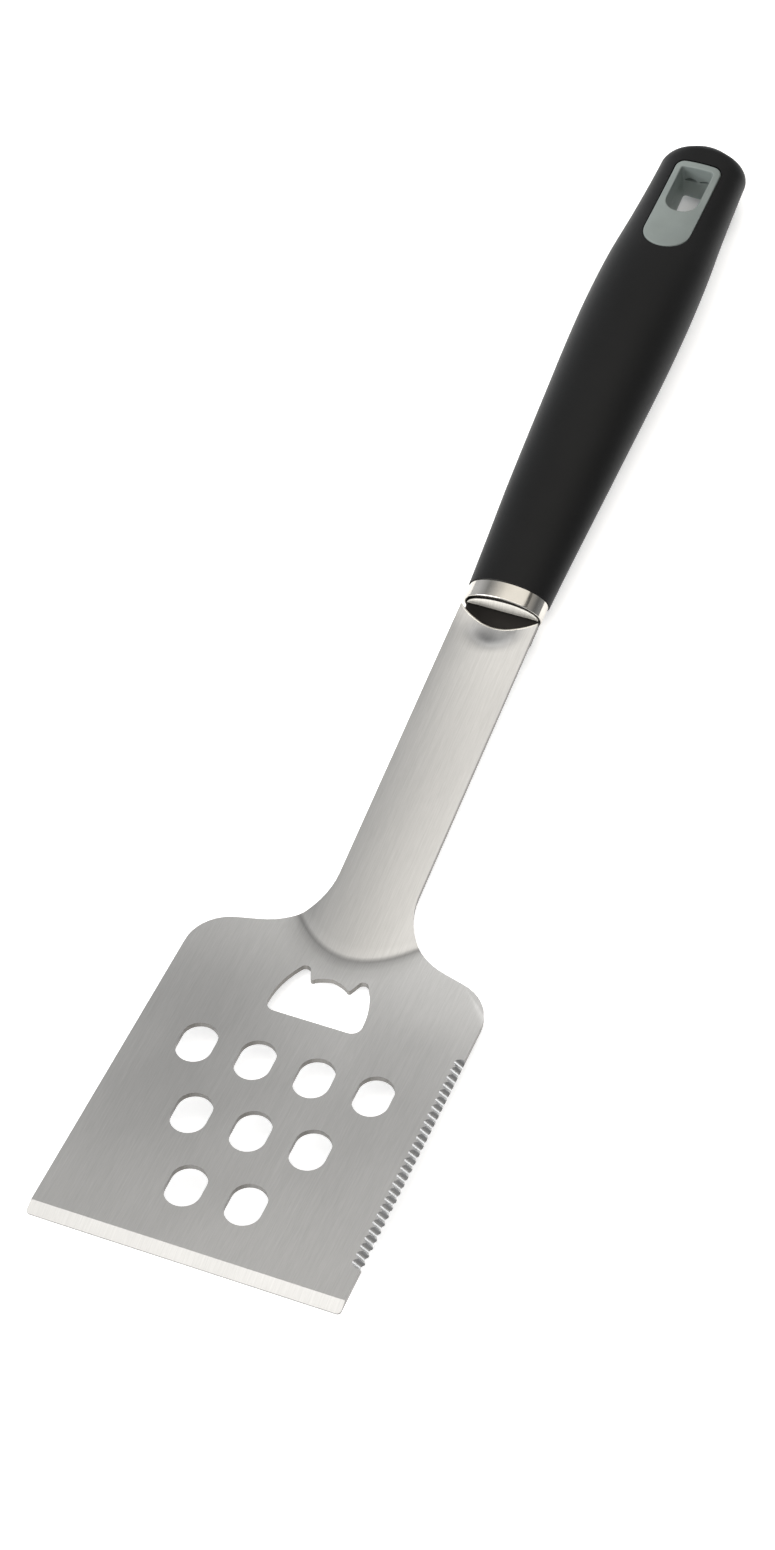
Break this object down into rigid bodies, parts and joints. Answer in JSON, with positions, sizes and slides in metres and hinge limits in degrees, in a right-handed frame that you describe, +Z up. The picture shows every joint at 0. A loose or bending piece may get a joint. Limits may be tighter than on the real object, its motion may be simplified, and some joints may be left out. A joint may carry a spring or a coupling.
{
  "type": "grill spatula",
  "caption": "Long-handled barbecue spatula with a slotted steel blade, saw edge, bottle opener and soft grip with hanging slot.",
  "frame": {"origin": "on the surface that the spatula rests on, under the middle of its bounding box", "axes": "+Y from the blade's front edge towards the handle, +Z up, +X towards the serrated edge"},
  "size_m": [0.0998, 0.464, 0.025],
  "materials": {
    "blade_steel": "brushed lengthwise",
    "polished_steel": "polished",
    "core_plastic": "matte",
    "grip_rubber": "soft matte",
    "insert_plastic": "satin"
  },
  "bodies": {
    "root": {"blade_shank": "blade_steel", "ferrule_ring": "polished_steel", "ferrule_end_plate": "blade_steel", "handle_core": "core_plastic", "handle_grip": "grip_rubber", "hang_insert_front": "insert_plastic", "hang_insert_rear": "insert_plastic"}
  },
  "joints": []
}
